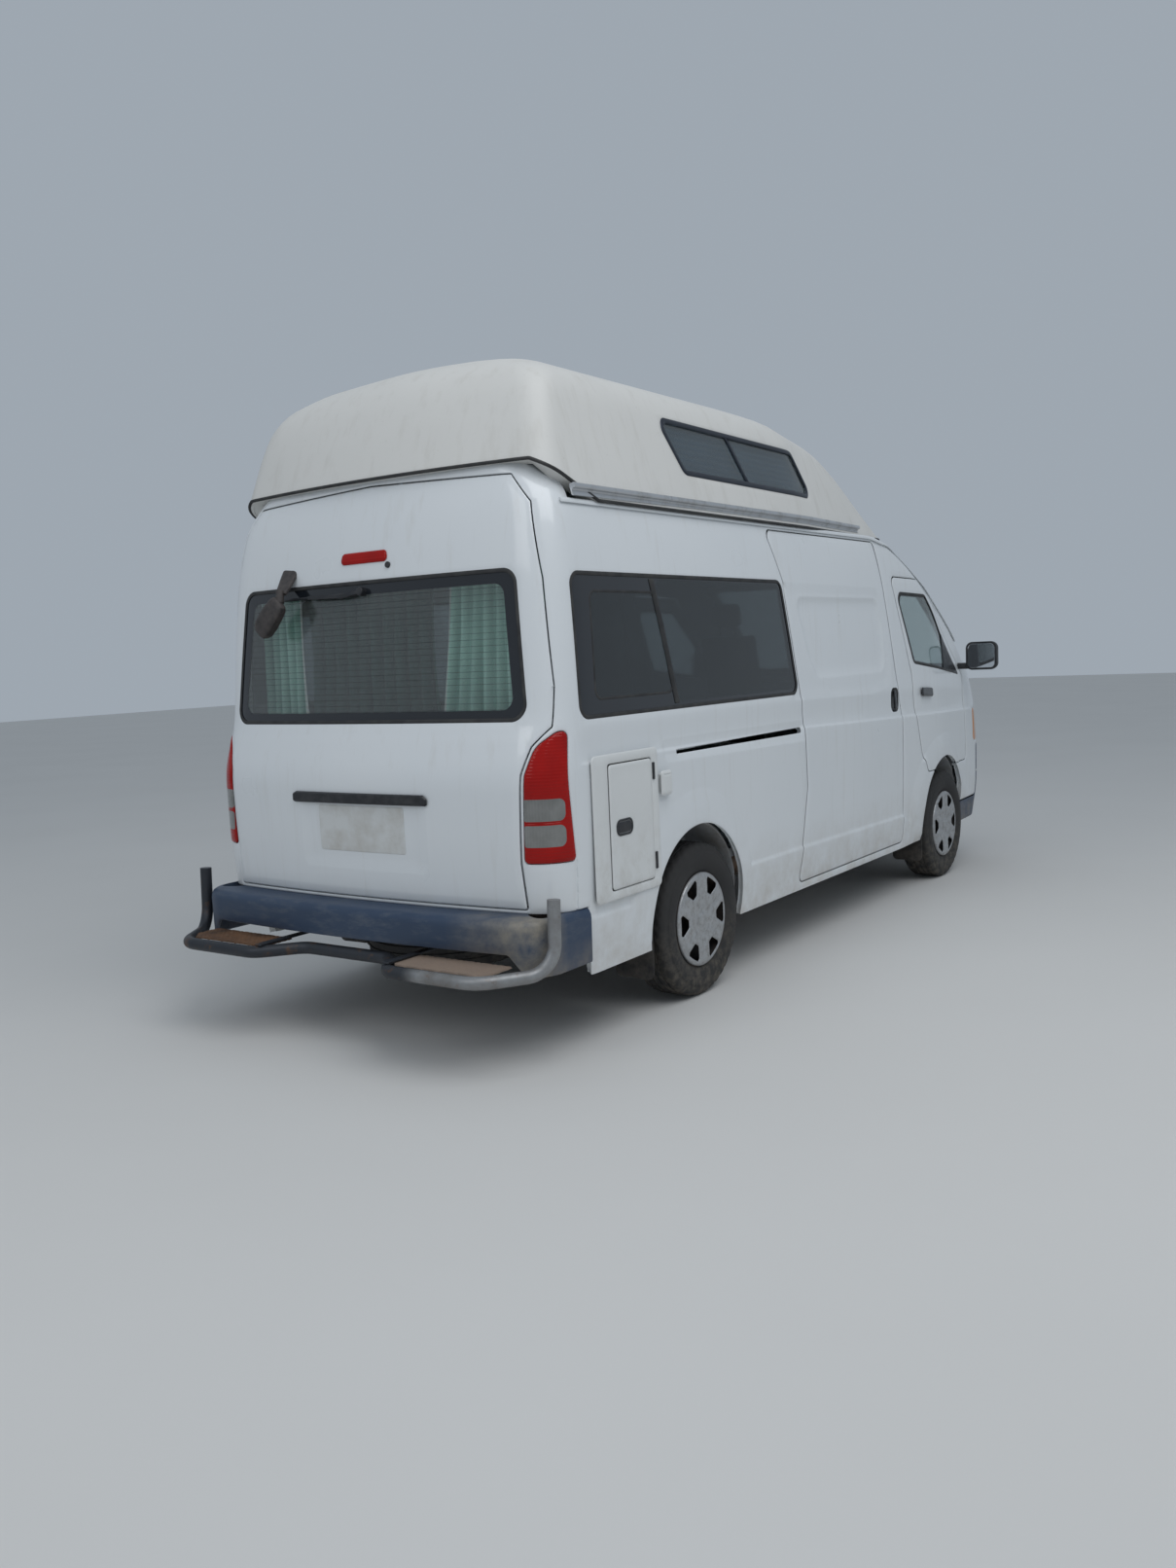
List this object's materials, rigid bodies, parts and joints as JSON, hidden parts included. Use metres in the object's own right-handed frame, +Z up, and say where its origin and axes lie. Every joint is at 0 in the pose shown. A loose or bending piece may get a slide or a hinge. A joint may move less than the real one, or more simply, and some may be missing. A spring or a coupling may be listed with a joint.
{
  "type": "camper van",
  "caption": "Long cab-over camper van with a moulded high roof, cab doors, sliding side doors, a lift-up hatch, a side service locker and a rear step bar.",
  "frame": {"origin": "on the ground plane at the middle of the van's length and width", "axes": "+Z up, the nose towards -Y, the van's left side towards +X"},
  "size_m": [2.28, 5.55, 2.7449],
  "materials": {
    "white_paint": "white gloss paint, dulled",
    "roof_moulding": "cream white gelcoat, weathered",
    "window_glass": "clear, slightly tinted",
    "mirror_black": "fine grain",
    "lamp_lens": "polished",
    "clear_lens": "polished",
    "bumper_plastic": "dark blue-grey, scuffed",
    "black_plastic": "fine grain",
    "tyre_rubber": "worn",
    "flap_rubber": "matt",
    "trim_silver": "silver paint",
    "spare_steel": "dusty grey paint",
    "step_tube": "dark paint worn to bare steel",
    "tread_steel": "rusty",
    "rail_aluminium": "satin",
    "frame_dark": "dark anodised",
    "locker_plastic": "white moulding",
    "under_paint": "black underbody paint, dusty",
    "iron": "cast, oily",
    "exhaust_steel": "heat stained",
    "floor_steel": "painted sheet",
    "seat_cloth": "woven",
    "curtain_cloth": "gathered cotton",
    "dash_plastic": "grained"
  },
  "bodies": {
    "van": {"awning_rail": "rail_aluminium", "body_shell": "white_paint", "chassis_rails": "under_paint", "dashboard": "dash_plastic", "drip_rails": "white_paint", "drive_shaft": "under_paint", "engine": "iron", "exhaust": "exhaust_steel", "floor_pan": "floor_steel", "front_bumper": "bumper_plastic", "front_seats": "seat_cloth", "front_suspension": "under_paint", "front_wipers": "black_plastic", "fuel_tank": "under_paint", "grille": "black_plastic", "headlamps": "clear_lens", "hi_top": "roof_moulding", "locker_frame": "locker_plastic", "mud_flaps": "flap_rubber", "rear_axle": "under_paint", "rear_bumper": "bumper_plastic", "rear_curtains": "curtain_cloth", "roof_window_frames": "frame_dark", "roof_windows": "window_glass", "seat_platform": "floor_steel", "side_windows": "window_glass", "sliding_doors": "white_paint", "spare_rim": "spare_steel", "spare_tyre": "tyre_rubber", "step_bar": "step_tube", "step_plates": "tread_steel", "tail_lamps": "lamp_lens", "wheel_boxes": "floor_steel", "windscreen": "window_glass"},
    "steering": {"steering_wheel": "black_plastic"},
    "door_left": {"front_door_left": "white_paint", "door_glass_left": "window_glass", "mirror_left": "mirror_black"},
    "door_right": {"front_door_right": "white_paint", "door_glass_right": "window_glass", "mirror_right": "mirror_black"},
    "hatch": {"hatch_panel": "white_paint", "hatch_glass": "window_glass", "hatch_fittings": "black_plastic", "hatch_mirror": "mirror_black"},
    "locker_lid": {"locker_door": "locker_plastic"},
    "bonnet": {"bonnet_lid": "white_paint"},
    "knuckle_left": {"knuckle_left": "iron"},
    "knuckle_right": {"knuckle_right": "iron"},
    "wheel_front_left": {"tyre_front_left": "tyre_rubber", "rim_front_left": "trim_silver"},
    "wheel_front_right": {"tyre_front_right": "tyre_rubber", "rim_front_right": "trim_silver"},
    "wheel_rear_left": {"tyre_rear_left": "tyre_rubber", "rim_rear_left": "trim_silver"},
    "wheel_rear_right": {"tyre_rear_right": "tyre_rubber", "rim_rear_right": "trim_silver"}
  },
  "joints": [
    {"name": "steer_left", "type": "hinge", "parent": "van", "child": "knuckle_left", "pos_m": [0.79, -1.76, 0.338], "axis": [0, 0, 1], "range_deg": [-35, 35]},
    {"name": "steer_right", "type": "hinge", "parent": "van", "child": "knuckle_right", "pos_m": [-0.79, -1.76, 0.338], "axis": [0, 0, 1], "range_deg": [-35, 35]},
    {"name": "steering_wheel_turn", "type": "hinge", "parent": "van", "child": "steering", "pos_m": [-0.4, -2.185, 1.165], "axis": [0, 0.5299, 0.848], "range_deg": [-525, 525]},
    {"name": "wheel_spin_front_left", "type": "hinge", "parent": "knuckle_left", "child": "wheel_front_left", "pos_m": [0.827, -1.76, 0.338], "axis": [1, 0, 0], "continuous": true},
    {"name": "wheel_spin_front_right", "type": "hinge", "parent": "knuckle_right", "child": "wheel_front_right", "pos_m": [-0.827, -1.76, 0.338], "axis": [1, 0, 0], "continuous": true},
    {"name": "wheel_spin_rear_left", "type": "hinge", "parent": "van", "child": "wheel_rear_left", "pos_m": [0.827, 1.35, 0.338], "axis": [1, 0, 0], "continuous": true},
    {"name": "wheel_spin_rear_right", "type": "hinge", "parent": "van", "child": "wheel_rear_right", "pos_m": [-0.827, 1.35, 0.338], "axis": [1, 0, 0], "continuous": true},
    {"name": "door_left_swing", "type": "hinge", "parent": "van", "child": "door_left", "pos_m": [0.903, -2.247, 1.2], "axis": [0, 0, -1], "range_deg": [0, 65]},
    {"name": "door_right_swing", "type": "hinge", "parent": "van", "child": "door_right", "pos_m": [-0.903, -2.247, 1.2], "axis": [0, 0, 1], "range_deg": [0, 65]},
    {"name": "hatch_lift", "type": "hinge", "parent": "van", "child": "hatch", "pos_m": [0, 2.3, 2.224], "axis": [1, 0, 0], "range_deg": [0, 85]},
    {"name": "locker_swing", "type": "hinge", "parent": "van", "child": "locker_lid", "pos_m": [-0.9585, 1.7745, 0.841], "axis": [0, 0, 1], "range_deg": [0, 100]},
    {"name": "bonnet_lift", "type": "hinge", "parent": "van", "child": "bonnet", "pos_m": [0, -2.69, 1.262], "axis": [-1, 0, 0], "range_deg": [0, 60]}
  ],
  "couplings": [
    {"joint": "steer_right", "follows": "steer_left", "ratio": 1},
    {"joint": "steering_wheel_turn", "follows": "steer_left", "ratio": 15}
  ]
}
